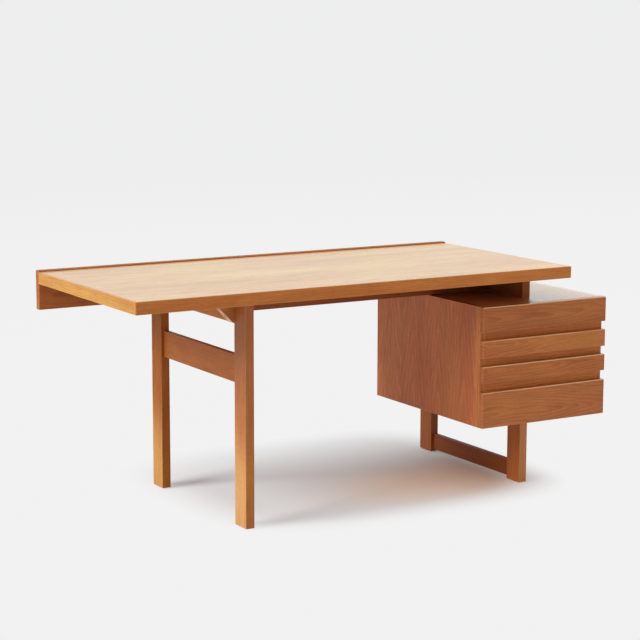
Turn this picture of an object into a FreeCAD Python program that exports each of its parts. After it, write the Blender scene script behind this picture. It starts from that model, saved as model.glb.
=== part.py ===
import FreeCAD, Part
import math
import os
import re

import Sketcher

# Writing desk: a veneered top with a raised backboard, a leg frame near each end,
# and a case of four drawers that hangs in the right frame and passes the end of the top.
# Every place below is measured from the floor under the desktop's left front corner,
# with X along the front, Y towards the backboard and Z up.

SIZES = {
    # Desktop, its solid edging and the backboard behind it
    "desk_length": 1514,
    "desk_depth": 703,
    "desk_height": 720,
    "top_thick": 37,
    "edging_thick": 8,
    "edging_round": 1.5,
    "backboard_thick": 24,
    "backboard_drop": 118,
    "backboard_rise": 4.5,
    "backboard_round": 3,
    # Legs of both frames
    "leg_width": 29,
    "leg_depth": 69,
    "leg_round": 2,
    "left_frame_start": 381,
    "right_frame_inset": 98,
    "left_leg_setback": 72,
    "right_leg_setback": 122,
    # Rails that tie the legs, and their tenons
    "top_rail_thick": 22,
    "top_rail_height": 72,
    "low_rail_thick": 18,
    "low_rail_inset": 10.5,
    "rail_round": 1.5,
    "mid_rail_gap": 97,
    "mid_rail_height": 84,
    "stretcher_lift": 9,
    "stretcher_height": 54,
    "long_rail_setback": 317,
    "long_rail_thick": 22,
    "long_tenon_length": 12,
    "tenon_length": 25,
    "tenon_thick": 9,
    "tenon_shoulder": 8,
    "joint_clear": 0.15,
    # Brackets under the desktop's left overhang
    "bracket_reach": 72,
    "bracket_thick": 30,
    "bracket_blunt": 2,
    "bracket_screw_near": 20,
    "bracket_screw_far": 44,
    # Drawer case
    "case_overhang": 161,
    "case_gap": 74,
    "case_width": 483,
    "case_height": 384,
    "board_thick": 18,
    "board_round": 1,
    "case_lipping": 14,
    "case_back_thick": 12,
    "tongue_thick": 6,
    "tongue_length": 6,
    "recess_rail_thick": 18,
    "rail_lap": 5,
    # Drawer fronts and the finger gaps between them
    "front_setback": 20,
    "front_thick": 19.5,
    "front_round": 2,
    "front_clear": 0.5,
    "front_height_1": 80,
    "front_height_2": 55,
    "front_height_3": 53.5,
    "finger_gap": 26.5,
    "low_finger_gap": 29.5,
    # Drawer boxes and their runners
    "box_side_clear": 1.5,
    "box_height_clear": 2,
    "box_rear_gap": 30,
    "side_thick": 12,
    "side_housing": 6,
    "box_back_thick": 12,
    "box_back_inset": 10,
    "box_back_drop": 5,
    "box_back_housing": 4,
    "bottom_thick": 5,
    "bottom_lift": 7,
    "bottom_housing": 4.5,
    "runner_height": 12,
    "runner_proud": 7,
    "runner_inset": 20,
    "runner_rear_gap": 82,
    "runner_clear": 0.3,
    # Wood screws, dowels and foot glides
    "screw_diameter": 4,
    "screw_head_diameter": 8,
    "screw_head_thick": 3,
    "screw_length": 35,
    "screw_bite": 15,
    "screw_margin": 60,
    "case_screw_length": 50,
    "case_screw_sink": 1,
    "case_screw_spread": 20,
    "case_screw_height": 80,
    "hole_clear": 0.1,
    "dowel_diameter": 8,
    "dowel_length": 30,
    "dowel_margin": 70,
    "leg_dowel_lift": 22,
    "leg_dowel_spread": 36,
    "glide_diameter": 20,
    "glide_thick": 3,
    "nail_diameter": 3,
    "nail_length": 14,
    "overrun": 2,
}

PLACES = {
    # Overall
    "overall_width": "desk_length + case_overhang",
    "overall_depth": "desk_depth + backboard_thick",
    "middle_x": "overall_width / 2",
    "middle_y": "overall_depth / 2",
    "underside": "desk_height - top_thick",
    # Frames
    "right_frame_start": "desk_length - right_frame_inset",
    "leg_height": "underside - glide_thick",
    "back_leg_front": "desk_depth - leg_depth",
    "left_leg_rear": "left_leg_setback + leg_depth",
    "right_leg_rear": "right_leg_setback + leg_depth",
    "rail_bottom": "underside - top_rail_height",
    "mid_rail_lift": "rail_bottom - mid_rail_gap - mid_rail_height",
    "left_rail_inner": "left_frame_start + top_rail_thick",
    "right_rail_inner": "right_frame_start + leg_width - top_rail_thick",
    "screw_level": "underside + screw_bite - screw_length",
    # Drawer case
    "case_top_level": "underside - case_gap",
    "case_lift": "case_top_level - case_height",
    "case_start": "overall_width - case_width",
    "front_rear": "front_setback + front_thick",
    "case_front": "front_rear + front_clear",
    "case_inner_left": "case_start + board_thick",
    "case_inner_right": "case_start + case_width - board_thick",
    "case_inner_width": "case_width - 2 * board_thick",
    "case_back_front": "back_leg_front - case_back_thick",
    # Drawer fronts, from the top down
    "front_high_1": "case_top_level",
    "front_low_1": "front_high_1 - front_height_1",
    "front_high_2": "front_low_1 - finger_gap",
    "front_low_2": "front_high_2 - front_height_2",
    "front_high_3": "front_low_2 - finger_gap",
    "front_low_3": "front_high_3 - front_height_3",
    "front_high_4": "front_low_3 - low_finger_gap",
    "front_low_4": "case_lift",
    # Drawer boxes, between the recess rails
    "box_high_1": "case_top_level - board_thick - box_height_clear",
    "box_low_1": "front_low_1 + rail_lap + box_height_clear",
    "box_high_2": "front_high_2 - rail_lap - box_height_clear",
    "box_low_2": "front_low_2 + rail_lap + box_height_clear",
    "box_high_3": "front_high_3 - rail_lap - box_height_clear",
    "box_low_3": "front_low_3 + rail_lap + box_height_clear",
    "box_high_4": "front_high_4 - rail_lap - box_height_clear",
    "box_low_4": "case_lift + board_thick + box_height_clear",
    "box_left": "case_inner_left + box_side_clear",
    "box_right": "case_inner_right - box_side_clear",
    "box_inner_left": "box_left + side_thick",
    "box_inner_right": "box_right - side_thick",
    "box_rear": "case_back_front - box_rear_gap",
    "box_back_rear": "box_rear - box_back_inset",
    "runner_front": "case_front + runner_inset",
    "runner_length": "case_back_front - runner_rear_gap - runner_front",
}

WORD = re.compile(r"[a-z][a-z0-9_]*")
# Directions that a screw is driven in: the turn of its axis, and the axis and sign it moves along
UP = (FreeCAD.Rotation(), "z", "+")
DOWN = (FreeCAD.Rotation(FreeCAD.Vector(1, 0, 0), 180), "z", "-")
BACK = (FreeCAD.Rotation(FreeCAD.Vector(1, 0, 0), -90), "y", "+")
OPPOSITE = {"+": "-", "-": "+"}

doc = FreeCAD.newDocument("writing_desk")
pieces = []
origins = {}


def full_names(text):
    """Write each word of a formula as the sheet cell that holds it."""
    def cell(found):
        word = found.group()
        return ("sizes." if word in SIZES else "places.") + word
    return WORD.sub(cell, text)


def bind(item, field, text):
    """Bind a property to a formula of named sizes."""
    item.setExpression(field, full_names(text))


def fill_sheet(name, rows, written):
    """Make a sheet with a name, an alias and a value in each row."""
    sheet = doc.addObject("Spreadsheet::Sheet", name)
    for row, (alias, value) in enumerate(rows.items(), start=1):
        sheet.set(f"A{row}", alias)
        sheet.set(f"B{row}", written(value))
        sheet.setAlias(f"B{row}", alias)
    doc.recompute()


def place(item, x, y, z, turn=UP[0]):
    """Put an object at a place measured from the desktop's corner, with the desk centred."""
    item.Placement = FreeCAD.Placement(FreeCAD.Vector(0, 0, 0), turn)
    bind(item, ".Placement.Base.x", f"{x} - middle_x")
    bind(item, ".Placement.Base.y", f"{y} - middle_y")
    bind(item, ".Placement.Base.z", z)


def moved(point, way, distance, back=False):
    """Move a point by a distance along a screw's direction, or back along it."""
    turn, axis, sign = way
    step = dict(zip("xyz", point))
    step[axis] = f"{step[axis]} {OPPOSITE[sign] if back else sign} ({distance})"
    return tuple(step.values())


def start_piece(name, x, y, z):
    """Start a body with its own corner at the given place."""
    body = doc.addObject("PartDesign::Body", name)
    body.Label = name
    place(body, x, y, z)
    origins[name] = (x, y, z)
    pieces.append(body)
    return body


def outline(body, role, corners):
    """Closed outline on one of the body's own planes, each corner held by two bound distances."""
    sketch = body.newObject("Sketcher::SketchObject", f"{body.Name}_outline")
    planes = {item.Role: item for item in body.Origin.OriginFeatures}
    sketch.AttachmentSupport = [(planes[role], "")]
    sketch.MapMode = "FlatFace"
    step = 2 * math.pi / len(corners)
    ring = [FreeCAD.Vector(math.cos((n - 1.5) * step), math.sin((n - 1.5) * step), 0)
            for n in range(len(corners))]
    for n, point in enumerate(ring):
        sketch.addGeometry(Part.LineSegment(point, ring[(n + 1) % len(ring)]), False)
    for n, point in enumerate(ring):
        sketch.addConstraint(Sketcher.Constraint("Coincident", (n - 1) % len(ring), 2, n, 1))
    for n, (point, corner) in enumerate(zip(ring, corners)):
        for kind, length, text in zip(("DistanceX", "DistanceY"), (point.x, point.y), corner):
            row = sketch.addConstraint(Sketcher.Constraint(kind, -1, 1, n, 1, length))
            bind(sketch, f"Constraints[{row}]", text)
    return sketch


def pad(body, sketch, length, turned=False):
    """Raise an outline to a bound length."""
    feature = body.newObject("PartDesign::Pad", f"{body.Name}_pad")
    feature.Profile = sketch
    feature.Reversed = turned
    bind(feature, "Length", length)
    return feature


def board(name, corner, extent):
    """Rectangular board with its lowest corner and its three sizes given."""
    body = start_piece(name, *corner)
    width, depth, height = extent
    sketch = outline(body, "XY_Plane", [("0", "0"), (width, "0"), (width, depth), ("0", depth)])
    pad(body, sketch, height)
    return body


def ease(body, radius, joined=""):
    """Round the piece's edges, apart from those on the sides that are joined to other wood.

    The joined sides are written as axis and sign, such as "+x -z".
    """
    doc.recompute()
    base = body.Tip
    shape = base.Shape
    box = shape.BoundBox
    sides = {"-x": ("x", box.XMin), "+x": ("x", box.XMax), "-y": ("y", box.YMin),
             "+y": ("y", box.YMax), "-z": ("z", box.ZMin), "+z": ("z", box.ZMax)}

    def lies_on(edge, side):
        axis, level = sides[side]
        return all(math.isclose(getattr(vertex.Point, axis), level, abs_tol=Part.Precision.confusion())
                   for vertex in edge.Vertexes)

    chosen = [f"Edge{number}" for number, edge in enumerate(shape.Edges, start=1)
              if not any(lies_on(edge, side) for side in joined.split())]
    fillet = body.newObject("PartDesign::Fillet", f"{body.Name}_eased")
    fillet.Base = (base, chosen)
    bind(fillet, "Radius", radius)


def block(kind, body, corner, extent):
    """Add a block to a body, or take one away, with its corner measured from the desktop's."""
    feature = body.newObject(f"PartDesign::{kind}Box", f"{body.Name}_{kind.lower()}_box")
    for axis, at, start in zip("xyz", corner, origins[body.Name]):
        bind(feature, f".Placement.Base.{axis}", f"({at}) - ({start})")
    for field, text in zip(("Length", "Width", "Height"), extent):
        bind(feature, field, text)


def bore(body, point, way, diameter, length):
    """Bore a round hole into a body, from a point along a screw's direction."""
    feature = body.newObject("PartDesign::SubtractiveCylinder", f"{body.Name}_bore")
    feature.Placement = FreeCAD.Placement(FreeCAD.Vector(0, 0, 0), way[0])
    for axis, at, start in zip("xyz", point, origins[body.Name]):
        bind(feature, f".Placement.Base.{axis}", f"({at}) - ({start})")
    bind(feature, "Radius", f"({diameter}) / 2")
    bind(feature, "Height", length)


def rod(name, point, way, diameter, length):
    """Round rod from a point along a direction."""
    item = doc.addObject("Part::Cylinder", name)
    place(item, *point, way[0])
    bind(item, "Radius", f"({diameter}) / 2")
    bind(item, "Height", length)
    return item


def group(name, members):
    """Identical fasteners as one node of separate solids."""
    item = doc.addObject("Part::Compound", name)
    item.Label = name
    item.Links = members
    pieces.append(item)


def screw(name, parts, head, way, length, sink):
    """Wood screw from its head's outer face; the first part holds the head, the rest the shank."""
    start = moved(head, way, f"{sink} + overrun", back=True)
    bore(parts[0], start, way, "screw_head_diameter + 2 * hole_clear",
         f"{sink} + overrun + screw_head_thick + hole_clear")
    for part in parts:
        bore(part, head, way, "screw_diameter + 2 * hole_clear", f"{length} + hole_clear")
    fused = doc.addObject("Part::MultiFuse", name)
    fused.Shapes = [rod(f"{name}_head", head, way, "screw_head_diameter", "screw_head_thick"),
                    rod(f"{name}_shank", head, way, "screw_diameter", length)]
    return fused


def dowel(name, parts, x, z):
    """Wooden dowel across the joint between a piece and the backboard."""
    start = (x, "desk_depth - dowel_length / 2", z)
    for part in parts:
        bore(part, moved(start, BACK, "hole_clear", back=True), BACK,
             "dowel_diameter + 2 * hole_clear", "dowel_length + 2 * hole_clear")
    return rod(name, start, BACK, "dowel_diameter", "dowel_length")


def cross_rail(name, x, low, thick, height, legs, front, rear, joined):
    """Rail between the rear face of a front leg and the front face of a back leg, tenoned into both."""
    rail = board(name, (x, front, low), (thick, f"{rear} - {front}", height))
    ease(rail, "rail_round", joined)
    tenon_x = f"{x} + ({thick} - tenon_thick) / 2"
    tenon_z = f"{low} + tenon_shoulder"
    tenon_height = f"{height} - 2 * tenon_shoulder"
    for leg, root, tip in zip(legs, (f"{front} - tenon_length", rear),
                              (f"{front} - tenon_length - joint_clear", rear)):
        block("Additive", rail, (tenon_x, root, tenon_z), ("tenon_thick", "tenon_length", tenon_height))
        block("Subtractive", leg, (f"{tenon_x} - joint_clear", tip, f"{tenon_z} - joint_clear"),
              ("tenon_thick + 2 * joint_clear", "tenon_length + joint_clear",
               f"{tenon_height} + 2 * joint_clear"))
    return rail


fill_sheet("sizes", SIZES, str)
fill_sheet("places", PLACES, lambda formula: "=" + full_names(formula))

# Desktop: a thick veneered panel with solid edging on three sides
top_panel = board("desktop_panel", ("edging_thick", "edging_thick", "underside"),
                  ("desk_length - 2 * edging_thick", "desk_depth - edging_thick", "top_thick"))
front_edging = board("front_edging", ("0", "0", "underside"),
                     ("desk_length", "edging_thick", "top_thick"))
ease(front_edging, "edging_round", "+y")
for name, x, inner in (("left_edging", "0", "+x"),
                       ("right_edging", "desk_length - edging_thick", "-x")):
    edging = board(name, (x, "edging_thick", "underside"),
                   ("edging_thick", "desk_depth - edging_thick", "top_thick"))
    ease(edging, "edging_round", f"{inner} -y +y")

# Backboard: stands a little above the desktop and hangs below it, against the back legs
backboard = board("backboard", ("0", "desk_depth", "desk_height - backboard_drop"),
                  ("desk_length", "backboard_thick", "backboard_drop + backboard_rise"))
ease(backboard, "backboard_round")


def leg(name, x, y, low, height):
    """Flat leg, its wide face to the side, with its four long edges eased."""
    body = board(name, (x, y, low), ("leg_width", "leg_depth", height))
    ease(body, "leg_round", "-z +z")
    return body


# Legs: full height in the left frame and at the back right; the case parts the right front one
left_front_leg = leg("left_front_leg", "left_frame_start", "left_leg_setback",
                     "glide_thick", "leg_height")
left_back_leg = leg("left_back_leg", "left_frame_start", "back_leg_front",
                    "glide_thick", "leg_height")
right_back_leg = leg("right_back_leg", "right_frame_start", "back_leg_front",
                     "glide_thick", "leg_height")
right_front_leg = leg("right_front_leg", "right_frame_start", "right_leg_setback",
                      "glide_thick", "case_lift - glide_thick")
upper_post = leg("right_upper_post", "right_frame_start", "right_leg_setback",
                 "case_top_level", "underside - case_top_level")

# Rails of the left frame, then of the right one
left_top_rail = cross_rail("left_top_rail", "left_frame_start", "rail_bottom", "top_rail_thick",
                           "top_rail_height", (left_front_leg, left_back_leg),
                           "left_leg_rear", "back_leg_front", "-y +y +z")
cross_rail("left_mid_rail", "left_frame_start + low_rail_inset", "mid_rail_lift", "low_rail_thick",
           "mid_rail_height", (left_front_leg, left_back_leg),
           "left_leg_rear", "back_leg_front", "-y +y")
right_top_rail = cross_rail("right_top_rail", "right_rail_inner", "rail_bottom", "top_rail_thick",
                            "top_rail_height", (upper_post, right_back_leg),
                            "right_leg_rear", "back_leg_front", "-y +y +z")
cross_rail("right_low_stretcher", "right_frame_start + low_rail_inset", "stretcher_lift",
           "low_rail_thick", "stretcher_height", (right_front_leg, right_back_leg),
           "right_leg_rear", "back_leg_front", "-y +y")

# Long rail: ties the two frames under the desktop, tenoned into the top rails
long_rail = board("long_rail", ("left_rail_inner", "long_rail_setback", "rail_bottom"),
                  ("right_rail_inner - left_rail_inner", "long_rail_thick", "top_rail_height"))
ease(long_rail, "rail_round", "-x +x +z")
long_tenon_y = "long_rail_setback + (long_rail_thick - tenon_thick) / 2"
long_tenon_z = "rail_bottom + tenon_shoulder"
long_tenon_height = "top_rail_height - 2 * tenon_shoulder"
for rail, root, tip in ((left_top_rail, "left_rail_inner - long_tenon_length",
                         "left_rail_inner - long_tenon_length - joint_clear"),
                        (right_top_rail, "right_rail_inner", "right_rail_inner")):
    block("Additive", long_rail, (root, long_tenon_y, long_tenon_z),
          ("long_tenon_length", "tenon_thick", long_tenon_height))
    block("Subtractive", rail, (tip, f"{long_tenon_y} - joint_clear", f"{long_tenon_z} - joint_clear"),
          ("long_tenon_length + joint_clear", "tenon_thick + 2 * joint_clear",
           f"{long_tenon_height} + 2 * joint_clear"))


def bracket(name, y):
    """Board cut off at 45 degrees, under the overhang and against the left top rail."""
    body = start_piece(name, "left_frame_start - bracket_reach", y, "rail_bottom")
    sketch = outline(body, "XZ_Plane", [
        ("bracket_reach - bracket_blunt", "0"),
        ("bracket_reach", "0"),
        ("bracket_reach", "bracket_reach"),
        ("0", "bracket_reach"),
        ("0", "bracket_reach - bracket_blunt"),
    ])
    pad(body, sketch, "bracket_thick", turned=True)
    return body


front_bracket = bracket("left_front_bracket", "left_leg_rear")
back_bracket = bracket("left_back_bracket", "back_leg_front - bracket_thick")

# Screws that hold the desktop: up through the rails, and through the brackets' sloping faces
desktop_screws = []
left_line = "left_frame_start + top_rail_thick / 2"
right_line = "right_rail_inner + top_rail_thick / 2"
long_line = "long_rail_setback + long_rail_thick / 2"
rail_screws = [
    (left_top_rail, left_line, "left_leg_rear + screw_margin"),
    (left_top_rail, left_line, "back_leg_front - screw_margin"),
    (right_top_rail, right_line, "right_leg_rear + screw_margin / 2"),
    (right_top_rail, right_line, "back_leg_front - screw_margin"),
    (long_rail, "left_rail_inner + screw_margin", long_line),
    (long_rail, "(left_rail_inner + right_rail_inner) / 2", long_line),
    (long_rail, "right_rail_inner - screw_margin", long_line),
]
for number, (rail, x, y) in enumerate(rail_screws, start=1):
    desktop_screws.append(screw(f"rail_screw_{number}", (rail, top_panel), (x, y, "screw_level"),
                                UP, "screw_length", "screw_level - rail_bottom"))
group("desktop_screws", desktop_screws)

bracket_screws = []
for body, y in ((front_bracket, "left_leg_rear"), (back_bracket, "back_leg_front - bracket_thick")):
    for reach in ("bracket_screw_near", "bracket_screw_far"):
        head = (f"left_frame_start - {reach}", f"{y} + bracket_thick / 2", "screw_level")
        bracket_screws.append(screw(f"{body.Name}_{reach}", (body, top_panel), head, UP,
                                    "screw_length", "screw_level - rail_bottom"))
group("bracket_screws", bracket_screws)

# Dowels: the backboard to the desktop's back edge and to both back legs
dowel_run = "(desk_length - 2 * dowel_margin)"
dowels = []
for number, share in enumerate((0, 1 / 4, 1 / 2, 3 / 4, 1), start=1):
    dowels.append(dowel(f"top_dowel_{number}", (top_panel, backboard),
                        f"dowel_margin + {dowel_run} * {share}", "desk_height - top_thick / 2"))
for body, x in ((left_back_leg, "left_frame_start"), (right_back_leg, "right_frame_start")):
    for level, z in (("low", "desk_height - backboard_drop + leg_dowel_lift"),
                     ("high", "desk_height - backboard_drop + leg_dowel_lift + leg_dowel_spread")):
        dowels.append(dowel(f"{body.Name}_{level}_dowel", (body, backboard),
                            f"{x} + leg_width / 2", z))
group("backboard_dowels", dowels)

# Foot glides: a disc under each leg, with a nail up into the end grain
glides = []
for body in (left_front_leg, left_back_leg, right_front_leg, right_back_leg):
    x, y, z = origins[body.Name]
    centre = (f"{x} + leg_width / 2", f"{y} + leg_depth / 2", "0")
    bore(body, centre, UP, "nail_diameter + 2 * hole_clear",
         "glide_thick + nail_length + hole_clear")
    glide = doc.addObject("Part::MultiFuse", f"{body.Name}_glide")
    glide.Shapes = [rod(f"{body.Name}_disc", centre, UP, "glide_diameter", "glide_thick"),
                    rod(f"{body.Name}_nail", centre, UP, "nail_diameter", "glide_thick + nail_length")]
    glides.append(glide)
group("foot_glides", glides)

# Drawer case: two sides with solid front lippings, and a top and bottom tongued between them
tongue_offset = "(board_thick - tongue_thick) / 2"
case_sides = []
for side, x, inner, outer in (("left", "case_start", "+x", "-x"),
                              ("right", "case_inner_right", "-x", "+x")):
    panel = board(f"case_{side}_side", (x, "case_front + case_lipping", "case_lift"),
                  ("board_thick", "back_leg_front - case_front - case_lipping", "case_height"))
    ease(panel, "board_round", f"{inner} -y")
    case_sides.append(panel)
    lipping = board(f"case_{side}_lipping", (x, "case_front", "case_lift"),
                    ("board_thick", "case_lipping", "case_height"))
    ease(lipping, "board_round", f"{inner} +y")

case_boards = []
for name, low in (("case_top", "case_top_level - board_thick"), ("case_bottom", "case_lift")):
    level = board(name, ("case_inner_left", "case_front", low),
                  ("case_inner_width", "back_leg_front - case_front", "board_thick"))
    case_boards.append(level)
    for panel, root, tip in ((case_sides[0], "case_inner_left - tongue_length",
                              "case_inner_left - tongue_length - joint_clear"),
                             (case_sides[1], "case_inner_right", "case_inner_right")):
        block("Additive", level,
              (root, "case_front + case_lipping + joint_clear", f"{low} + {tongue_offset}"),
              ("tongue_length", "back_leg_front - case_front - case_lipping - joint_clear",
               "tongue_thick"))
        block("Subtractive", panel,
              (tip, "case_front + case_lipping", f"{low} + {tongue_offset} - joint_clear"),
              ("tongue_length + joint_clear", "back_leg_front - case_front - case_lipping",
               "tongue_thick + 2 * joint_clear"))
case_top, case_bottom = case_boards
case_back = board("case_back", ("case_inner_left", "case_back_front", "case_lift + board_thick"),
                  ("case_inner_width", "case_back_thick", "case_height - 2 * board_thick"))

# Recess rails: set back behind the finger gaps, between the drawer openings
for upper in (1, 2, 3):
    rail_low = f"front_high_{upper + 1} - rail_lap"
    board(f"recess_rail_{upper}", ("case_inner_left", "case_front", rail_low),
          ("case_inner_width", "recess_rail_thick", f"front_low_{upper} + rail_lap - ({rail_low})"))

# Screws that hold the case: down into the front leg, up into the post, back into the back leg
case_screws = []
leg_line = "right_frame_start + leg_width / 2"
post_line = "right_leg_setback + (leg_depth - tenon_length) / 2"
for number, spread in enumerate(("- case_screw_spread / 2", "+ case_screw_spread / 2"), start=1):
    case_screws.append(screw(
        f"leg_screw_{number}", (case_bottom, right_front_leg),
        (leg_line, f"{post_line} {spread}", "case_lift + board_thick - case_screw_sink"),
        DOWN, "case_screw_length", "case_screw_sink"))
    case_screws.append(screw(
        f"post_screw_{number}", (case_top, upper_post),
        (leg_line, f"{post_line} {spread}", "case_top_level - board_thick + case_screw_sink"),
        UP, "case_screw_length", "case_screw_sink"))
for number, z in enumerate(("case_lift + case_screw_height",
                            "case_top_level - case_screw_height"), start=1):
    case_screws.append(screw(
        f"back_screw_{number}", (case_back, right_back_leg),
        (leg_line, "case_back_front + case_screw_sink", z),
        BACK, "case_screw_length", "case_screw_sink"))
group("case_screws", case_screws)


def drawer(number):
    """One drawer: overlay front, two sides grooved for the runners, back and bottom."""
    low, high = f"box_low_{number}", f"box_high_{number}"
    box_height = f"({high} - {low})"
    bottom_low = f"{low} + bottom_lift"
    front = board(f"drawer_{number}_front", ("case_start", "front_setback", f"front_low_{number}"),
                  ("case_width", "front_thick", f"front_high_{number} - front_low_{number}"))
    ease(front, "front_round")
    groove_depth = "bottom_housing + joint_clear"
    groove_height = "bottom_thick + 2 * joint_clear"
    block("Subtractive", front,
          ("box_inner_left", f"front_rear - ({groove_depth})", f"{bottom_low} - joint_clear"),
          ("box_inner_right - box_inner_left", f"{groove_depth} + overrun", groove_height))
    runner_low = f"{low} + ({box_height} - runner_height) / 2"
    for side, x, runner_x, notch_x, groove_x, housing_x in (
            ("left", "box_left", "case_inner_left", "box_left - overrun",
             f"box_inner_left - ({groove_depth})", "box_inner_left - box_back_housing - joint_clear"),
            ("right", "box_inner_right", "case_inner_right - runner_proud",
             "case_inner_right - runner_proud - runner_clear",
             "box_inner_right - overrun", "box_inner_right - overrun")):
        block("Subtractive", front,
              (f"{x} - joint_clear", "front_rear - side_housing - joint_clear", f"{low} - joint_clear"),
              ("side_thick + 2 * joint_clear", "side_housing + joint_clear + overrun",
               f"{box_height} + 2 * joint_clear"))
        panel = board(f"drawer_{number}_{side}_side", (x, "front_rear - side_housing", low),
                      ("side_thick", "box_rear - front_rear + side_housing", box_height))
        block("Subtractive", panel,
              (notch_x, "runner_front - runner_clear", f"{runner_low} - runner_clear"),
              ("runner_proud - box_side_clear + runner_clear + overrun",
               "box_rear - runner_front + runner_clear + overrun",
               "runner_height + 2 * runner_clear"))
        block("Subtractive", panel,
              (groove_x, f"front_rear - ({groove_depth})", f"{bottom_low} - joint_clear"),
              (f"{groove_depth} + overrun", f"box_rear - front_rear + {groove_depth} + overrun",
               groove_height))
        block("Subtractive", panel,
              (housing_x, "box_back_rear - box_back_thick - joint_clear",
               f"{bottom_low} + bottom_thick + joint_clear"),
              ("box_back_housing + joint_clear + overrun", "box_back_thick + 2 * joint_clear",
               f"{box_height} + overrun"))
        board(f"runner_{side}_{number}", (runner_x, "runner_front", runner_low),
              ("runner_proud", "runner_length", "runner_height"))
    back_low = f"{bottom_low} + bottom_thick + 2 * joint_clear"
    board(f"drawer_{number}_back",
          ("box_inner_left - box_back_housing", "box_back_rear - box_back_thick", back_low),
          ("box_inner_right - box_inner_left + 2 * box_back_housing", "box_back_thick",
           f"{high} - box_back_drop - ({back_low})"))
    board(f"drawer_{number}_bottom",
          ("box_inner_left - bottom_housing", "front_rear - bottom_housing", bottom_low),
          ("box_inner_right - box_inner_left + 2 * bottom_housing",
           "box_rear - front_rear + bottom_housing", "bottom_thick"))


for number in (1, 2, 3, 4):
    drawer(number)

doc.recompute()


def check_document():
    """Stop if any object failed, a cut removed nothing, or a piece is empty or broken."""
    for item in doc.Objects:
        if {"Invalid", "Error"} & set(item.State):
            raise RuntimeError(f"{item.Label} failed: {item.State}")
        if item.TypeId.startswith("PartDesign::Subtractive"):
            if not item.Shape.Volume < item.BaseFeature.Shape.Volume:
                raise RuntimeError(f"{item.Label} cuts nothing")
    for piece in pieces:
        if piece.Shape.isNull() or not piece.Shape.isValid():
            raise RuntimeError(f"{piece.Label} has no valid shape")


check_document()
os.makedirs("parts", exist_ok=True)
for piece in pieces:
    piece.Shape.exportStep(f"parts/{piece.Label}.step")
print(len(pieces), "pieces,", doc.places.overall_width, "mm wide and", doc.places.overall_depth, "mm deep")
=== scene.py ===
import math

import bpy
import numpy as np
from mathutils import Matrix, Vector


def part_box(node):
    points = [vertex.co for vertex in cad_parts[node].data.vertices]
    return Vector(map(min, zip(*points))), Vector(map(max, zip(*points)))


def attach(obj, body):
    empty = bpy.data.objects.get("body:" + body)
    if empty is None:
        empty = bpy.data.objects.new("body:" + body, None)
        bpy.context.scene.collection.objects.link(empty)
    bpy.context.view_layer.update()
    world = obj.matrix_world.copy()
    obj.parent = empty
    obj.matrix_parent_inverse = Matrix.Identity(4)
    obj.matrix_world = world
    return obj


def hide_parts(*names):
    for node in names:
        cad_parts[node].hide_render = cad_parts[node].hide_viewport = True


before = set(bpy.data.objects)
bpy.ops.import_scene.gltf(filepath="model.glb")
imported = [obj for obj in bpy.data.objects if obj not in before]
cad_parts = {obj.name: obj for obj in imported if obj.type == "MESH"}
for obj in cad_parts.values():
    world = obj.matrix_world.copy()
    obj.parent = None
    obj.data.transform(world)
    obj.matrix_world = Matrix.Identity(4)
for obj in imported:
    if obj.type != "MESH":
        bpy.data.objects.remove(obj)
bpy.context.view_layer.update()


# Left legs: two flat legs of solid teak, planed and oiled, their four long edges eased.
# The grain runs their whole height, and the desktop and the rails are tied to them by tenons.


class Signal:
    """A value that varies over a surface. Each sum on it adds a Math node of its own."""

    def __init__(self, finish, socket):
        self.finish = finish
        self.socket = socket

    def sum(self, operation, first, second=0.0):
        return self.finish.node("Math", {"operation": operation}, {0: first, 1: second})

    def __add__(self, other):
        return self.sum("ADD", self, other)

    def __sub__(self, other):
        return self.sum("SUBTRACT", self, other)

    def __rsub__(self, other):
        return self.sum("SUBTRACT", other, self)

    def __mul__(self, other):
        return self.sum("MULTIPLY", self, other)

    def __truediv__(self, other):
        return self.sum("DIVIDE", self, other)

    def __pow__(self, power):
        return self.sum("POWER", self, power)

    __radd__ = __add__
    __rmul__ = __mul__

    def least(self, other):
        return self.sum("MINIMUM", self, other)

    def most(self, other):
        return self.sum("MAXIMUM", self, other)

    def fraction(self):
        return self.sum("FRACT", self)

    def to_and_fro(self, span):
        """Up from zero to span and down again, over and over."""
        return self.sum("PINGPONG", self, span)


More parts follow.
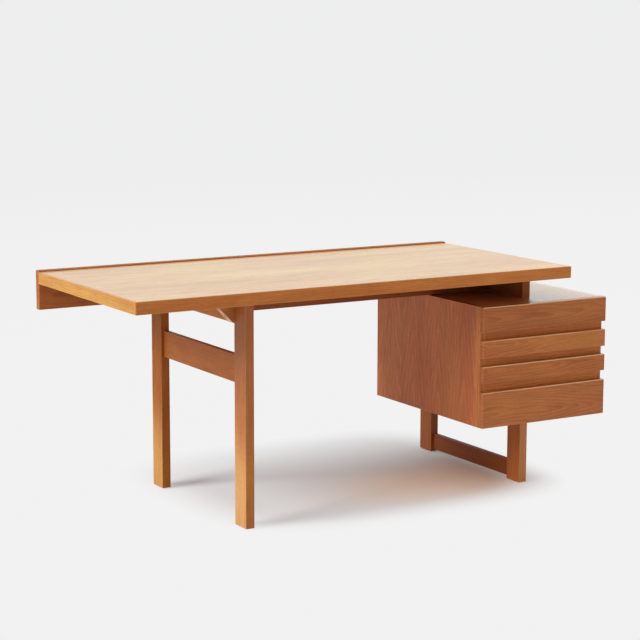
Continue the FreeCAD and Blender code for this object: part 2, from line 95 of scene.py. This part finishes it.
class Finish:
    """A material in the making, or the world: nodes are added one by one, then close() ends it."""

    def __init__(self, name, world=False):
        self.owner = (bpy.data.worlds if world else bpy.data.materials).new(name)
        self.owner.use_nodes = True
        self.tree = self.owner.node_tree
        self.tree.nodes.clear()

    def node(self, kind, settings, sockets, out=0):
        """Add a node, its settings first, then each socket's value or link. Returns one output.

        A socket goes by its number or its identifier.
        """
        made = self.tree.nodes.new(f"ShaderNode{kind}")
        for name, value in settings.items():
            setattr(made, name, value)
        for key, value in sockets.items():
            socket = next(s for n, s in enumerate(made.inputs) if key in (n, s.identifier))
            if isinstance(value, Signal):
                self.tree.links.new(value.socket, socket)
            else:
                socket.default_value = value
        found = next(s for n, s in enumerate(made.outputs) if out in (n, s.identifier))
        return Signal(self, found)

    def mix(self, share, first, second):
        """A colour between two colours."""
        ends = [c if isinstance(c, Signal) else (*c, 1) for c in (first, second)]
        sockets = {"Factor_Float": share, "A_Color": ends[0], "B_Color": ends[1]}
        return self.node("Mix", {"data_type": "RGBA"}, sockets, "Result_Color")

    def rise(self, value, start, end):
        """Zero up to start, one from end on, and a smooth rise between them.

        With end below start it is a fall: one up to end and zero from start on.
        """
        return self.node("MapRange", {"interpolation_type": "SMOOTHSTEP"},
                         {"Value": value, "From Min": start, "From Max": end})

    def parts(self, spot):
        """The three numbers of a place."""
        return [self.node("SeparateXYZ", {}, {0: spot}, axis) for axis in "XYZ"]

    def cloud(self, spot, counts, shift, detail=2.0):
        """Noise from 0 to 1, with so many spots in a metre along each axis."""
        moved = self.node("VectorMath", {"operation": "MULTIPLY_ADD"},
                          {0: spot, 1: counts, 2: shift})
        return self.node("TexNoise", {}, {"Vector": moved, "Scale": 1.0, "Detail": detail})

    def close(self, shader, output="OutputMaterial"):
        """Send a shader to the output, and hand over the material or world."""
        end = self.tree.nodes.new(f"ShaderNode{output}")
        self.tree.links.new(shader.socket, end.inputs["Surface"])
        return self.owner


def lay(finish, node, grain, across):
    """Places in metres from a piece's middle, turned so that X runs along its grain and Y across.

    Returns them with half the piece's size along the same axes.
    """
    low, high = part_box(node)
    axes = {"X": Vector((1, 0, 0)), "Y": Vector((0, 1, 0)), "Z": Vector((0, 0, 1))}
    along, over = axes[grain], axes[across]
    turn = Matrix((along, over, along.cross(over)))
    place = finish.node("TexCoord", {}, {}, "Object")
    spot = finish.node("Mapping", {"vector_type": "TEXTURE"},
                       {"Vector": place, "Location": (low + high) / 2,
                        "Rotation": turn.transposed().to_euler()})
    return spot, [abs(v) for v in turn @ (high - low) / 2]


def worn_edges(finish, spot, half, reach):
    """One along a piece's edges and zero from reach metres on.

    The nearest side of a box to a point on it is the point's own face, so the distance to the
    nearest edge is the middle one of its distances to the three pairs of sides.
    """
    inside = finish.node("VectorMath", {"operation": "ABSOLUTE"}, {0: spot})
    room = finish.node("VectorMath", {"operation": "SUBTRACT"}, {0: half, 1: inside})
    x, y, z = finish.parts(room)
    return 1 - finish.rise(x.least(y).most(x.most(y).least(z)), 0, reach)


def own_shift(seed):
    """How far a piece's noise is moved, so that no two pieces share their figure."""
    return (seed * 1.7, seed * 0.9, seed * 2.3)


def slow_bend(finish, spot, counts, seed):
    """Noise from 0 to 1 that bends a piece's rings, apart from the noise of its colours."""
    return finish.cloud(spot, counts, (seed * 0.7, seed * 3.1, seed * 1.9))


def growth_rings(distance, width):
    """The colour of rings of one width: dark at the end of each and pale at the next one's start.

    It is the fraction of the distance over the width, to a power that keeps most of a ring pale.
    """
    return (distance / width).fraction() ** 2.5


def tinted(tone, red, green, blue):
    """A tone with its red, green and blue multiplied."""
    return [tone[0] * red, tone[1] * green, tone[2] * blue]


def oiled_teak(finish, spot, half, seed, tone, rings, figure=0.55, shine=0.38, gloss=0.18,
               polish=0.0, coat=0.0, rubbed=None, sunned=0.0, bare=None):
    """Teak from its ring lines: bands, fibres and pores along X, paler edges, a satin oil.

    The stain is a weighted sum of the rings and of noise stretched along the grain; it blends a
    pale wood into a dark one, and slow clouds turn it reddish or golden. Streaks and pores are
    short dark pits, rougher and lower than the wood. The edges are paler, for wear and as a
    painted highlight along each arris. The coat is oil rubbed up to a shine, all over or, as
    polish, only where the wood looks up. Over the given share, on faces that look the given way
    if one is given, the wood is painted paler and its coat is glossier: painted light, with some
    sun bleaching in it. Where it is rubbed, it is painted pale: hand wear and a painted highlight.
    """
    pale_wood, dark_wood = tinted(tone, 1.25, 1.25, 1.25), tinted(tone, 0.72, 0.64, 0.56)
    reddish, golden = tinted(tone, 1.02, 0.76, 0.8), tinted(tone, 1.12, 1.25, 1.0)
    streak_wood, pore_wood = tinted(tone, 0.5, 0.5, 0.5), tinted(tone, 0.4, 0.4, 0.4)
    worn_and_highlit_edge_wood = [tone[0] * 1.25 + 0.06, tone[1] * 1.4 + 0.055, tone[2] * 1.6 + 0.04]
    worn_highlight_pale = (0.68, 0.4, 0.2)
    light_paling_gain = (1.6, 2.65, 4.2)
    edge_reach, relief, average_ring = 0.003, 0.0002, 0.22

    shift = own_shift(seed)
    bands = finish.cloud(spot, (1.6, 15, 15), shift)
    fibres = finish.cloud(spot, (7, 260, 260), shift, 3.0)
    flames = finish.cloud(spot, (10, 48, 48), shift)
    flush = finish.cloud(spot, (2.2, 7, 7), shift)
    streaks = finish.rise(finish.cloud(spot, (38, 820, 820), shift, 1.0), 0.58, 0.76)
    pores = finish.rise(finish.cloud(spot, (55, 1500, 1500), shift, 0.0), 0.6, 0.72)
    # Paler edges: wear, and a painted highlight along each arris.
    worn = worn_edges(finish, spot, half, edge_reach) * finish.rise(bands + fibres, 0.7, 1.1)
    stain = figure * rings + bands + 0.9 * fibres + 0.6 * flames - 0.8 - figure * average_ring

    wood = finish.mix(stain, pale_wood, dark_wood)
    for where, strength, colour in (
            (finish.rise(flush, 0.5, 0.72), 0.5, reddish),
            (finish.rise(flush, 0.5, 0.3), 0.4, golden),
            (streaks, 0.42, streak_wood), (pores, 0.35, pore_wood), (worn, 0.45, worn_and_highlit_edge_wood)):
        wood = finish.mix(where * strength, wood, colour)
    # Rubbed places are painted pale: hand wear and a painted highlight.
    if rubbed:
        wood = finish.mix(rubbed * finish.rise(bands + fibres, 0.5, 1.0), wood, worn_highlight_pale)
    normal = finish.node("TexCoord", {}, {}, "Normal")
    # Painted light: faces that look the given way are painted paler, with some sun bleaching in
    # it.
    if bare:
        faces = finish.node("VectorMath", {"operation": "DOT_PRODUCT"},
                            {0: normal, 1: bare}, "Value")
        sunned = sunned * finish.rise(faces, 0.9, 0.99)
    paled_by_light = finish.node("VectorMath", {"operation": "MULTIPLY"}, {0: wood, 1: light_paling_gain})
    wood = finish.mix(sunned, wood, paled_by_light)

    height = fibres * 0.5 - pores - 0.5 * streaks
    bump = finish.node("Bump", {}, {"Strength": 0.3, "Distance": relief, "Height": height})
    rough = shine + 0.16 * fibres + 0.2 * pores - 0.08 * worn - 0.22 * sunned
    upward = finish.rise(finish.parts(normal)[2], 0.2, 0.7)
    return finish.close(finish.node("BsdfPrincipled", {}, {
        "Base Color": wood, "Roughness": rough, "Normal": bump, "Specular IOR Level": gloss,
        "Coat Weight": coat + (polish + 0.65 * sunned) * upward, "Coat Roughness": 0.17}))


def dress(node, material):
    """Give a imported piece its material."""
    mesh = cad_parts[node].data
    mesh.materials.clear()
    mesh.materials.append(material)


def solid_teak(node, grain, across, seed, tone, heart, foot=0.0, **looks):
    """Solid teak: rings about the log's heart line, which lies heart metres off the middle.

    The distance from the heart line is bent by slow noise, and the line slants a little along
    the grain. From the middle to the grain's lower end, the foot, the wood is painted paler and
    paler, up to foot: painted light, as the desktop's overhang shades the upper part.
    """
    ring_width, slant, bending, foot_end = 0.0042, 0.03, 0.05, -0.25
    finish = Finish(f"{node}_teak")
    spot, half = lay(finish, node, grain, across)
    x, y, z = finish.parts(spot)
    if foot:
        looks["sunned"] = foot * finish.rise(x, 0.0, foot_end)
    sideways, through = y + heart[0] + slant * x, z + heart[1]
    distance = (sideways * sideways + through * through) ** 0.5
    bend = bending * slow_bend(finish, spot, (1.4, 4, 4), seed)
    rings = growth_rings(distance + bend, ring_width)
    dress(node, oiled_teak(finish, spot, half, seed, tone, rings, **looks))


# The legs' left faces are painted paler towards the foot: painted light, as the desktop shades
# their upper part.
solid_teak("left_front_leg", "Z", "Y", 1, (0.41, 0.138, 0.033), (0.05, 0.09), foot=0.52,
           coat=0.1, bare=(-1, 0, 0))
solid_teak("left_back_leg", "Z", "Y", 2, (0.335, 0.1, 0.019), (-0.04, 0.1), foot=0.75,
           gloss=0.08, bare=(-1, 0, 0))


# Left rails: a top rail flush with the legs' outer faces and a lower rail set in from them.
# Solid teak, tenoned into both legs, the lower one with eased edges all along.

solid_teak("left_top_rail", "Y", "Z", 3, (0.62, 0.21, 0.042), (0.08, 0.06))
solid_teak("left_mid_rail", "Y", "Z", 4, (0.385, 0.118, 0.019), (-0.09, 0.05), figure=0.15)


# Right frame: the same legs, but the drawer case parts the front one into a short leg below
# it and a post above it. A top rail and a low stretcher tie the legs, also by tenons.

right_tone = (0.4, 0.125, 0.03)
# Its front faces are painted paler: painted light.
solid_teak("right_front_leg", "Z", "Y", 5, (0.47, 0.146, 0.036), (0.05, 0.08),
           sunned=0.48, bare=(0, -1, 0))
for seed, (node, grain, heart, tone) in enumerate((
        ("right_upper_post", "Z", (-0.05, 0.09), right_tone),
        ("right_back_leg", "Z", (0.04, 0.1), (0.32, 0.092, 0.021)),
        ("right_top_rail", "Y", (0.07, 0.06), right_tone),
        # The low stretcher's tone is darker than the legs': painted shade.
        ("right_low_stretcher", "Y", (-0.07, 0.05), (0.24, 0.064, 0.013))), start=6):
    solid_teak(node, grain, "Y" if grain == "Z" else "Z", seed, tone, heart)


# Long rail: ties the two frames under the desktop. Solid teak on edge, tenoned into both
# top rails and screwed up into the desktop.

solid_teak("long_rail", "X", "Z", 10, (0.27, 0.07, 0.016), (0.09, 0.07))


# Brackets: two short boards cut off at 45 degrees, under the desktop's left overhang.
# Solid teak, glued to the top rail beside the legs and screwed up through the slope.

# Their sloped ends are painted pale: the pale of the bare cut, with a painted highlight.
for seed, node in ((11, "left_front_bracket"), (12, "left_back_bracket")):
    solid_teak(node, "X", "Z", seed, (0.5, 0.18, 0.055), (0.06, 0.05),
               shine=0.6, coat=0.8, sunned=1.0, bare=(-0.707, 0, -0.707))


# Foot glides: a moulded disc of dark nylon, nailed up into the end grain under each leg.
# Even in colour, a little mottled, and scuffed where it slides.

finish = Finish("foot_glides_nylon")
place = finish.node("TexCoord", {}, {}, "Object")
mottle = finish.cloud(place, (90, 90, 90), (0, 0, 0))
scuffs = finish.rise(finish.cloud(place, (700, 900, 60), (4, 1, 2)), 0.52, 0.7)
dark_nylon, pale_nylon, scuffed = (0.02, 0.014, 0.01), (0.035, 0.026, 0.02), (0.12, 0.1, 0.085)
nylon = finish.mix(scuffs * 0.5, finish.mix(mottle, dark_nylon, pale_nylon), scuffed)
bump = finish.node("Bump", {}, {"Strength": 0.3, "Distance": 0.0003, "Height": mottle + scuffs})
dress("foot_glides", finish.close(finish.node("BsdfPrincipled", {}, {
    "Base Color": nylon, "Roughness": 0.42 + 0.25 * scuffs, "Normal": bump})))


# Desktop: a thick board veneered with leaves of teak, laid along the desk and matched
# edge to edge, every other leaf turned over. Oiled; its top is painted paler than its
# underside, as sun bleaching and as painted light.


def teak_veneer(node, grain, across, seed, tone, leaf, heart, slope, ring_width,
                shade_end=None, worn_highlit_arris=False, **looks):
    """Flat-cut leaves laid side by side across a board, every other one turned over.

    The place across is folded at each joint, so a leaf and the next mirror each other. The rings
    go by the root of the squared distance to the leaf's heart and the squared depth of that
    heart, plus slope times the place along the grain and a slow bend: tall arches. Past
    shade_end along the grain, where the board stands out from under the desktop, it is painted
    paler and its coat is glossier: painted light and a painted reflection, reaching further in at
    the front. Handled, its top front arris is painted pale, where the places across and through
    are both greatest: hand wear and a painted highlight.
    """
    heart_depth, bending = 0.007746, 0.07
    leaf_along, leaf_down = 0.11, 0.045
    light_slant, light_blend, light_polish = 0.22, 0.025, 0.35
    finish = Finish(f"{node}_veneer")
    spot, half = lay(finish, node, grain, across)
    x, y, z = finish.parts(spot)
    count = (y + half[1]) / leaf
    number = finish.node("Math", {"operation": "FLOOR"}, {0: count})
    folded = count.to_and_fro(1.0) * leaf - heart
    leaf_spot = finish.node("CombineXYZ", {}, {
        "X": x + leaf_along * number, "Y": folded, "Z": leaf_down * number})
    arch = (folded * folded + heart_depth ** 2) ** 0.5 + slope * x
    bend = bending * slow_bend(finish, leaf_spot, (2.2, 12, 5), seed)
    turned = (number * 0.5).fraction()
    joint = 1 - finish.rise(folded + heart, 0.0, 0.0008)
    lines = growth_rings(arch + bend, ring_width) + 0.25 * turned + joint
    # Painted light and a painted reflection past the desktop's end.
    if shade_end:
        painted_light_end = finish.rise(x - light_slant * y,
                               shade_end - light_blend, shade_end + light_blend)
        looks.update(sunned=painted_light_end, polish=light_polish * painted_light_end)
    # Painted highlight and hand wear along the top front arris.
    if worn_highlit_arris:
        arris = half[1] + half[2]
        looks["rubbed"] = finish.rise(y + z, arris - 0.004, arris - 0.001)
    dress(node, oiled_teak(finish, spot, half, seed, tone, lines, gloss=0.3, **looks))


teak_veneer("desktop_panel", "X", "Y", 13, (0.45, 0.172, 0.046),
            leaf=0.139, heart=0.06, slope=0.07, ring_width=0.009,
            shine=0.52, sunned=1.0, bare=(0, 0, 1))


# Edging: strips of solid teak glued along the desktop's front and both ends, as thick as
# the board, with their outer arrises just rounded.

solid_teak("front_edging", "X", "Z", 14, (0.49, 0.16, 0.033), (0.1, 0.05), polish=0.5)
for seed, node, tone in ((15, "left_edging", (0.53, 0.258, 0.056)),
                         (16, "right_edging", (0.64, 0.37, 0.13))):
    solid_teak(node, "Y", "Z", seed, tone, (0.08, 0.05), polish=0.5)


# Backboard: one wide board of solid teak behind the desktop, standing a little above it,
# dowelled to the desktop's back edge and to both back legs.

solid_teak("backboard", "X", "Z", 17, (0.35, 0.109, 0.025), (0.04, 0.07))


# Dowels: beech pins across the backboard's joints, glued and out of sight.
# Beech is even and pale, with short darker flecks along its grain.


def planed_beech(node, grain, across, seed, tone):
    """Beech: fine fibres, a slow change of tone and short darker flecks, all along the grain."""
    pale_beech, dark_beech = tinted(tone, 1.12, 1.12, 1.12), tinted(tone, 0.82, 0.82, 0.82)
    fleck_beech, edge_beech = tinted(tone, 0.62, 0.5, 0.42), tinted(tone, 1.2, 1.2, 1.2)
    finish = Finish(f"{node}_beech")
    spot, half = lay(finish, node, grain, across)
    shift = own_shift(seed)
    slow = finish.cloud(spot, (1.5, 13, 13), shift)
    fibres = finish.cloud(spot, (12, 520, 520), shift)
    flecks = finish.rise(finish.cloud(spot, (130, 900, 900), shift, 0.0), 0.62, 0.7)
    worn = worn_edges(finish, spot, half, 0.003)
    wood = finish.mix(1.2 * slow + 0.8 * fibres - 0.5, pale_beech, dark_beech)
    wood = finish.mix(flecks * 0.35, wood, fleck_beech)
    wood = finish.mix(worn * 0.3, wood, edge_beech)
    bump = finish.node("Bump", {}, {"Strength": 0.2, "Distance": 0.0002,
                                    "Height": fibres - 0.4 * flecks})
    dress(node, finish.close(finish.node("BsdfPrincipled", {}, {
        "Base Color": wood, "Roughness": 0.5 + 0.15 * fibres, "Normal": bump})))


planed_beech("backboard_dowels", "Y", "X", 18, (0.6, 0.42, 0.24))


# Wood screws: steel, with a slotted cheese head, a plain neck and a cut thread to the point.
# They go up through the rails and the brackets into the desktop, and through the drawer
# case's bottom, top and back into the right frame.


def screw_mesh(screws, length):
    """Vertices and faces of screws, each from its head's middle, its way in and its slot's turn.

    A row is a ring of points at one depth. The head's upper rows leave two gaps for the slot,
    whose four corners lie on every ring of the head at half the slot's width. Along the thread
    the radius is the core's plus a ridge that moves round once in a pitch; both shrink to the
    point.
    """
    head, bevelled, head_depth, bevel = 0.004, 0.0036, 0.003, 0.0004
    neck, core, ridge_height, pitch = 0.00195, 0.00135, 0.0006, 0.0018
    half_slot, slot_depth = 0.0005, 0.0012
    thread_start, point_share, point_thin = 0.4, 0.22, 0.06
    columns, head_rows, slot_ends = 18, 4, (0, 9)
    ends = math.asin(half_slot / head)
    upper = np.linspace(ends, math.pi - ends, columns // 2)
    angle = np.concatenate(([-ends], upper, upper + math.pi))[:columns]
    depths = [0, bevel, slot_depth, head_depth, head_depth]
    widths = np.array([bevelled, head, head, head, neck])
    thread = np.arange(thread_start * length, length, pitch / 6)
    thin = np.clip((length - thread) / (point_share * length), point_thin, 1)
    turns = (thread[:, None] / pitch - angle / (2 * math.pi)) % 1
    ridge = np.clip(1 - 3 * np.abs(turns - 0.5), 0, 1)
    radius = np.vstack((np.repeat(widths[:, None], columns, 1),
                        thin[:, None] * (core + ridge_height * ridge)))
    depth = np.concatenate((depths, thread))[:, None] + 0 * radius
    rows = np.stack((radius * np.cos(angle), radius * np.sin(angle), -depth), 2)
    for column, (right, front) in {0: (1, -1), 1: (1, 1), 9: (-1, 1), 10: (-1, -1)}.items():
        rows[:head_rows, column, 0] = right * np.sqrt(widths[:head_rows] ** 2 - half_slot ** 2)
        rows[:head_rows, column, 1] = front * half_slot
    ring = [[columns * row + column for column in range(columns)] for row in range(len(rows))]
    top, rim, floor = ring[0], ring[1], ring[2]
    faces = [top[1:10], top[10:] + top[:1], [floor[0], floor[1], floor[9], floor[10]],
             [top[1], top[9], rim[9], floor[9], floor[1], rim[1]],
             [top[10], top[0], rim[0], floor[0], floor[10], rim[10]], ring[-1][::-1]]
    for row in range(len(rows) - 1):
        for column in range(columns):
            if row > 1 or column not in slot_ends:
                beside = (column + 1) % columns
                faces.append([ring[row][column], ring[row + 1][column],
                              ring[row + 1][beside], ring[row][beside]])
    points, polygons = [], []
    for middle, way, turn in screws:
        upright = (-Vector(way)).to_track_quat("Z", "Y").to_matrix()
        stand = upright @ Matrix.Rotation(turn, 3, "Z")
        first = len(points) * len(rows) * columns
        polygons += [[first + corner for corner in face] for face in faces]
        points.append(rows.reshape(-1, 3) @ np.array(stand).T + middle)
    return np.concatenate(points), polygons


up, down, back = (0, 0, 1), (0, 0, -1), (0, 1, 0)
under_height, next_turn = 0.663, 0.9
under_rails = [(-0.4455, -0.1625), (-0.4455, 0.2105), (-0.3745, -0.0355), (0.0755, -0.0355),
               (0.5255, -0.0355), (0.5965, -0.1425), (0.5965, 0.2105)]
under_brackets = [(x, y) for x in (-0.5005, -0.4765) for y in (-0.2075, 0.2555)]
in_case = [((0.593, -0.2295, 0.242), down), ((0.593, -0.2095, 0.242), down),
           ((0.593, -0.2295, 0.592), up), ((0.593, -0.2095, 0.592), up),
           ((0.593, 0.2595, 0.305), back), ((0.593, 0.2595, 0.529), back)]
for node, length, places in (
        ("desktop_screws", 0.035, [((x, y, under_height), up) for x, y in under_rails]),
        ("bracket_screws", 0.035, [((x, y, under_height), up) for x, y in under_brackets]),
        ("case_screws", 0.05, in_case)):
    screws = [(middle, way, next_turn * number) for number, (middle, way) in enumerate(places)]
    points, polygons = screw_mesh(screws, length)
    mesh = bpy.data.meshes.new(f"slotted_{node}")
    mesh.from_pydata(points.tolist(), [], polygons)
    slotted = bpy.data.objects.new(f"slotted_{node}", mesh)
    bpy.context.scene.collection.objects.link(slotted)
    finish = Finish(f"{node}_steel")
    place = finish.node("TexCoord", {}, {}, "Object")
    dull = finish.cloud(place, (260, 260, 260), (0, 0, 0))
    scratches = finish.cloud(place, (300, 2600, 900), (3, 1, 2))
    rust = finish.rise(dull, 0.58, 0.75) * 0.6
    grey_steel, bright_steel, rusty = (0.36, 0.34, 0.31), (0.62, 0.6, 0.56), (0.16, 0.09, 0.05)
    steel = finish.mix(rust, finish.mix(dull, grey_steel, bright_steel), rusty)
    bump = finish.node("Bump", {}, {"Strength": 0.2, "Distance": 0.0001, "Height": scratches})
    mesh.materials.append(finish.close(finish.node("BsdfPrincipled", {}, {
        "Base Color": steel, "Metallic": 1.0, "Roughness": 0.2 + 0.2 * dull + 0.15 * scratches,
        "Normal": bump})))
    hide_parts(node)
    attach(slotted, "frame")


# Drawer case: veneered boards, with upright leaves on the sides and the back and leaves along
# the desk on the top and bottom. These two are tongued into the sides, solid teak lippings
# close the sides' front edges, and the back is let in and glued.

case_tone = (0.52, 0.155, 0.042)
# Up-facing faces of the right side and lipping are painted paler: painted light and a painted
# reflection.
lit_top_looks = {"sunned": 1.0, "bare": (0, 0, 1)}
for seed, node, looks in ((27, "case_left_side", {}), (21, "case_right_side", lit_top_looks)):
    teak_veneer(node, "Z", "Y", seed, case_tone, leaf=0.144, heart=0.07, slope=0.17,
                ring_width=0.019, figure=-0.48, polish=1.0, **looks)
# The case top is painted paler where it stands out from under the desktop: painted light and a
# painted reflection.
top_low, top_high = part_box("case_top")
light_under = 0.05
desktop_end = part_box("right_edging")[1].x - (top_low.x + top_high.x) / 2 - light_under
for seed, node, shade_end in ((22, "case_top", desktop_end), (23, "case_bottom", None)):
    teak_veneer(node, "X", "Y", seed, (0.45, 0.17, 0.055), leaf=0.15, heart=0.07, slope=0.08,
                ring_width=0.009, shade_end=shade_end, shine=0.42)
teak_veneer("case_back", "Z", "X", 24, case_tone, leaf=0.15, heart=0.07, slope=0.17,
            ring_width=0.019, figure=0.36)
for seed, node, looks in ((25, "case_left_lipping", {}), (26, "case_right_lipping", lit_top_looks)):
    solid_teak(node, "Z", "Y", seed, (0.5, 0.172, 0.046), (0.03, 0.06), polish=1.0, **looks)


# Recess rails: solid teak rails between the drawer openings, set back behind the finger
# gaps, where little daylight has reached them.

for number in (1, 2, 3):
    solid_teak(f"recess_rail_{number}", "X", "Z", 26 + number, (0.56, 0.178, 0.04), (0.05, 0.06))


# Runners: beech strips glued to the case's sides, which the drawers' grooves slide on,
# rubbed with wax and browner than new wood.

for number in (1, 2, 3, 4):
    for seed, side in ((30, "left"), (34, "right")):
        planed_beech(f"runner_{side}_{number}", "Y", "Z", seed + number, (0.46, 0.28, 0.14))


# Drawers: a teak veneered front over each opening, its edges rounded, housed on beech
# sides and back, with a plywood bottom in a groove.


def plywood(node, seed):
    """Thin birch plywood: broad wandering lines on its faces, and its plies along the edges.

    A ply is a step through the thickness; every other one shows darker end grain, with a thin
    brown glue line at each step.
    """
    pale_birch, line_birch, edge_birch = (0.72, 0.53, 0.32), (0.55, 0.36, 0.19), (0.75, 0.58, 0.38)
    end_grain, glue_line, plies = (0.45, 0.28, 0.15), (0.3, 0.17, 0.09), 3
    finish = Finish(f"{node}_plywood")
    spot, half = lay(finish, node, "X", "Y")
    through = finish.parts(spot)[2]
    shift = own_shift(seed)
    wander = finish.cloud(spot, (2.2, 7, 1), shift)
    fibres = finish.cloud(spot, (14, 420, 420), shift)
    lines = (9 * wander).to_and_fro(0.5) * 2
    ply = (through + half[2]) / (half[2] * 2 / plies)
    glue = 1 - finish.rise(ply.fraction(), 0.0, 0.1)
    cross = (ply - 0.5).to_and_fro(1.0)
    flecks = finish.rise(finish.cloud(spot, (110, 800, 800), shift, 0.0), 0.62, 0.72)
    worn = worn_edges(finish, spot, half, 0.002)
    wood = finish.mix(0.45 * lines + 0.8 * fibres - 0.15, pale_birch, line_birch)
    wood = finish.mix(cross * 0.18, wood, end_grain)
    wood = finish.mix(glue * 0.4 + flecks * 0.25, wood, glue_line)
    wood = finish.mix(worn * 0.25, wood, edge_birch)
    bump = finish.node("Bump", {}, {"Strength": 0.2, "Distance": 0.0002,
                                    "Height": fibres - 0.5 * flecks})
    dress(node, finish.close(finish.node("BsdfPrincipled", {}, {
        "Base Color": wood, "Roughness": 0.5 + 0.15 * fibres, "Normal": bump})))


front_tones = {1: (0.38, 0.113, 0.024), 2: (0.43, 0.135, 0.028),
               3: (0.42, 0.125, 0.026), 4: (0.43, 0.135, 0.032)}
for number, tone in front_tones.items():
    # Each front's top front arris is painted pale: hand wear and a painted highlight.
    teak_veneer(f"drawer_{number}_front", "X", "Z", 40 + number, tone, leaf=0.16, heart=0.04,
                slope=0.07, ring_width=0.009, figure=0.62, worn_highlit_arris=True, polish=1.0)
    for seed, side, grain, across in ((50, "left_side", "Y", "Z"), (54, "right_side", "Y", "Z"),
                                      (58, "back", "X", "Z")):
        planed_beech(f"drawer_{number}_{side}", grain, across, seed + number, (0.6, 0.41, 0.22))
    plywood(f"drawer_{number}_bottom", 62 + number)


# Studio: a sheet of pale paper that runs on into a bright backdrop. Two wide soft lamps shine
# from the left, one high and one low, and a weak one from the right in front; an even light
# comes from all around.

floor_reach = 40.0
corners = np.array([(-1, -1, 0), (1, -1, 0), (1, 1, 0), (-1, 1, 0)]) * floor_reach
mesh = bpy.data.meshes.new("studio_floor")
mesh.from_pydata(corners.tolist(), [], [(0, 1, 2, 3)])
floor = bpy.data.objects.new("studio_floor", mesh)
bpy.context.scene.collection.objects.link(floor)

# Beyond a rounded rectangle about the desk, whoever looks at the paper sees the backdrop's
# even colour, and no shadow. A little of it is mixed in near the desk too. The rectangle's
# distance is the fourth root of the sum of the fourth powers of the two distances.
fade_middle, fade_depth, fade_start, fade_end = (0.13, 0.15), 1.1, 0.43, 0.68
far_start, far_end, near_share = 2.5, 14, 0.06
backdrop, far_backdrop = (0.885, 0.885, 0.885), (0.85, 0.852, 0.852)
finish = Finish("studio_floor_paper")
x, y = finish.parts(finish.node("TexCoord", {}, {}, "Object"))[:2]
sideways = (x - fade_middle[0]) ** 2.0
forward = (fade_depth * (y - fade_middle[1])) ** 2.0
away = (sideways * sideways + forward * forward) ** 0.25
fade = near_share + (1 - near_share) * finish.rise(away, fade_start, fade_end)
tint = finish.mix(finish.rise(away, far_start, far_end), backdrop, far_backdrop)
bright = finish.node("Emission", {}, {"Color": tint, "Strength": 1.0})
looks_on = [finish.node("LightPath", {}, {}, f"Is {ray} Ray")
            for ray in ("Camera", "Glossy", "Transmission")]
looked_at = (looks_on[0] + looks_on[1] + looks_on[2]).least(1.0)

# The paper itself is cool. Under the drawer case its colour is painted warmer: painted light, as
# bounced off the teak.
warm_middle, warm_depth, warm_start, warm_end = (0.42, -0.09), 1.8, 0.05, 0.62
cool_paper, bounce_tinted_paper = (0.815, 0.84, 0.855), (0.96, 0.76, 0.6)
sideways, forward = x - warm_middle[0], warm_depth * (y - warm_middle[1])
distance = (sideways * sideways + forward * forward) ** 0.5
painted_bounce = 1 - finish.rise(distance, warm_start, warm_end)
paper = finish.node("BsdfDiffuse", {}, {"Color": finish.mix(painted_bounce, cool_paper, bounce_tinted_paper)})
upper = finish.node("MixShader", {}, {0: fade * looked_at, 1: paper, 2: bright})
below = finish.node("NewGeometry", {}, {}, "Backfacing")
clear = finish.node("BsdfTransparent", {}, {})
mesh.materials.append(finish.close(finish.node("MixShader", {}, {0: below, 1: upper, 2: clear})))

world = Finish("studio", world=True)
even_light = world.node("Background", {}, {"Color": (1, 1, 1, 1), "Strength": 0.3})
shown = world.node("Background", {}, {"Color": (*far_backdrop, 1)})
looked_at = world.node("LightPath", {}, {}, "Is Camera Ray").most(
    world.node("LightPath", {}, {}, "Is Glossy Ray"))
bpy.context.scene.world = world.close(
    world.node("MixShader", {}, {0: looked_at, 1: even_light, 2: shown}), "OutputWorld")

for name, height, side, strength, spread in (("key_lamp", 64, -75, 0.42, 70),
                                             ("left_lamp", 32, -90, 0.78, 34),
                                             ("right_lamp", 15, 25, 0.07, 60)):
    light = bpy.data.lights.new(name, "SUN")
    light.energy = strength * math.pi
    light.angle = math.radians(spread)
    lamp = bpy.data.objects.new(name, light)
    rise, swing = math.radians(height), math.radians(side)
    towards = Vector((math.cos(rise) * math.sin(swing), -math.cos(rise) * math.cos(swing),
                      math.sin(rise)))
    lamp.rotation_euler = towards.to_track_quat("Z", "Y").to_euler()
    bpy.context.scene.collection.objects.link(lamp)


# Camera: stands at the photographer's place, a little above the desktop and to its left,
# with a long lens. Its place and turn were solved from the desk's own corners.

camera_place = (-2.996, -5.006, 1.505)
camera_yaw, camera_pitch, camera_roll = 30.63, -9.32, 0.13
lens = bpy.data.cameras.new("camera")
lens.lens = 105.2
lens.shift_y = 0.0018
camera = bpy.data.objects.new("camera", lens)
turn = (Matrix.Rotation(math.radians(-camera_yaw), 4, "Z")
        @ Matrix.Rotation(math.radians(90 + camera_pitch), 4, "X")
        @ Matrix.Rotation(math.radians(camera_roll), 4, "Z"))
camera.matrix_world = Matrix.Translation(camera_place) @ turn
bpy.context.scene.collection.objects.link(camera)
bpy.context.scene.camera = camera
bpy.context.scene.view_settings.view_transform = "Standard"
